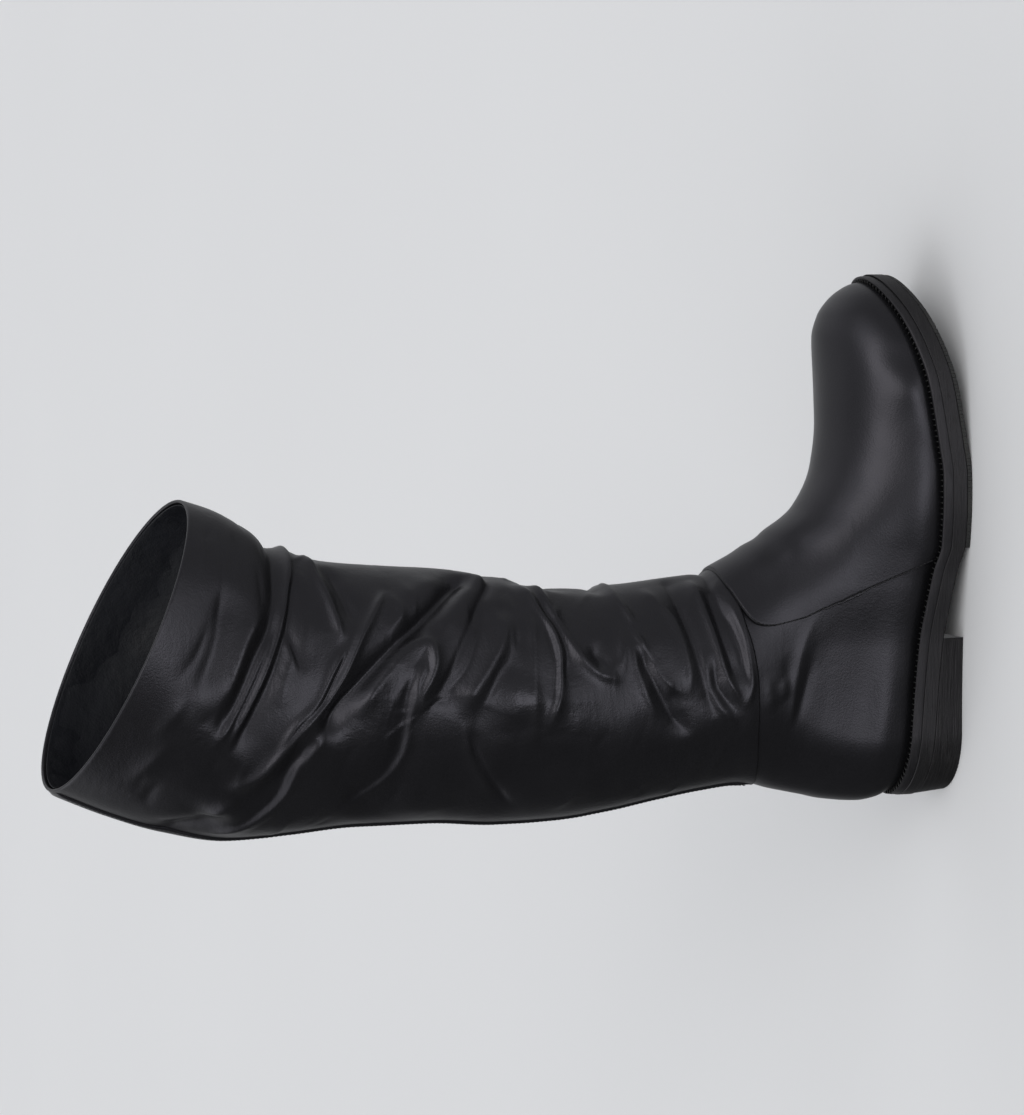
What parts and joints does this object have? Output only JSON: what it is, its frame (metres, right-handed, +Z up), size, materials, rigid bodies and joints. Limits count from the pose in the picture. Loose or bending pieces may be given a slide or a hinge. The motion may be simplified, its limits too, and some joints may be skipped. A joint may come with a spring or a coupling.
{
  "type": "tall boot",
  "caption": "Tall slouched leather boot for the right foot: folded shaft open at a slanted collar, rounded toe, vamp overlay, welted sole with forefoot tread and low stacked heel.",
  "frame": {"origin": "middle of the heel's ground face", "axes": "+X from heel to toe, +Y to the wearer's inner side (the left of a right boot), +Z up along the shaft"},
  "size_m": [0.2971, 0.1172, 0.5022],
  "materials": {
    "upper_leather": "black grained leather, soft satin",
    "vamp_leather": "black smooth leather, soft satin",
    "welt_leather": "black dyed edge, matt",
    "sole_rubber": "black, matt",
    "tread_rubber": "black, matt",
    "heel_stack": "black dyed stacked layers, matt",
    "insole_lining": "blue-black smooth lining, matt"
  },
  "bodies": {
    "root": {"upper": "upper_leather", "vamp": "vamp_leather", "back_strip": "upper_leather", "welt": "welt_leather", "outsole": "sole_rubber", "forefoot_tread": "tread_rubber", "heel": "heel_stack", "insole": "insole_lining"}
  },
  "joints": []
}
